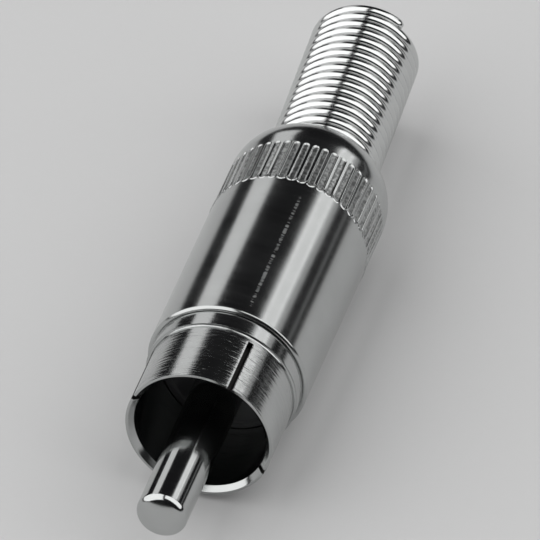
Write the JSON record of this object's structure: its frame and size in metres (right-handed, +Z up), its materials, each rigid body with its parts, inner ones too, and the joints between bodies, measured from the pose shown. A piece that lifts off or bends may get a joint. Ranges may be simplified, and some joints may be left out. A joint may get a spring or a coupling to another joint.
{
  "type": "phono plug",
  "caption": "Straight audio plug with a centre pin, slotted ground sleeve, knurled screw-on barrel and a coiled spring cable strain relief.",
  "frame": {"origin": "centre of the ground sleeve's mouth, on the pin's axis", "axes": "-Y the way the pin points and the jack leaves, +Y towards the cable, +Z up"},
  "size_m": [0.01, 0.0468, 0.01],
  "materials": {
    "plated_shell": "bright nickel plate over turned brass",
    "plated_pin": "bright nickel plate over turned brass",
    "plated_barrel": "bright nickel plate over turned brass",
    "spring_wire": "bright nickel plate over steel wire",
    "insulator": "moulded",
    "liner": "extruded",
    "tag": "tinned"
  },
  "bodies": {
    "front": {"ground_shell": "plated_shell", "centre_pin": "plated_pin", "front_insulator": "insulator", "rear_insulator": "insulator", "signal_tag": "tag", "ground_tag": "tag"},
    "liner": {"insulating_liner": "liner"},
    "barrel": {"barrel": "plated_barrel"},
    "spring": {"strain_spring": "spring_wire"}
  },
  "joints": [
    {"name": "barrel_travel", "type": "slide", "parent": "front", "child": "liner", "axis": [0, 1, 0], "range_m": [0, 0.0045]},
    {"name": "barrel_turn", "type": "hinge", "parent": "liner", "child": "barrel", "pos_m": [0, 0, 0], "axis": [0, 1, 0], "range_deg": [0, 2160]},
    {"name": "spring_swivel", "type": "hinge", "parent": "barrel", "child": "spring", "pos_m": [0, 0.0257, 0], "axis": [-0.0471, 0.9989, 0], "continuous": true}
  ],
  "couplings": [
    {"joint": "barrel_travel", "follows": "barrel_turn", "m_per_rad": 0.00011937}
  ]
}
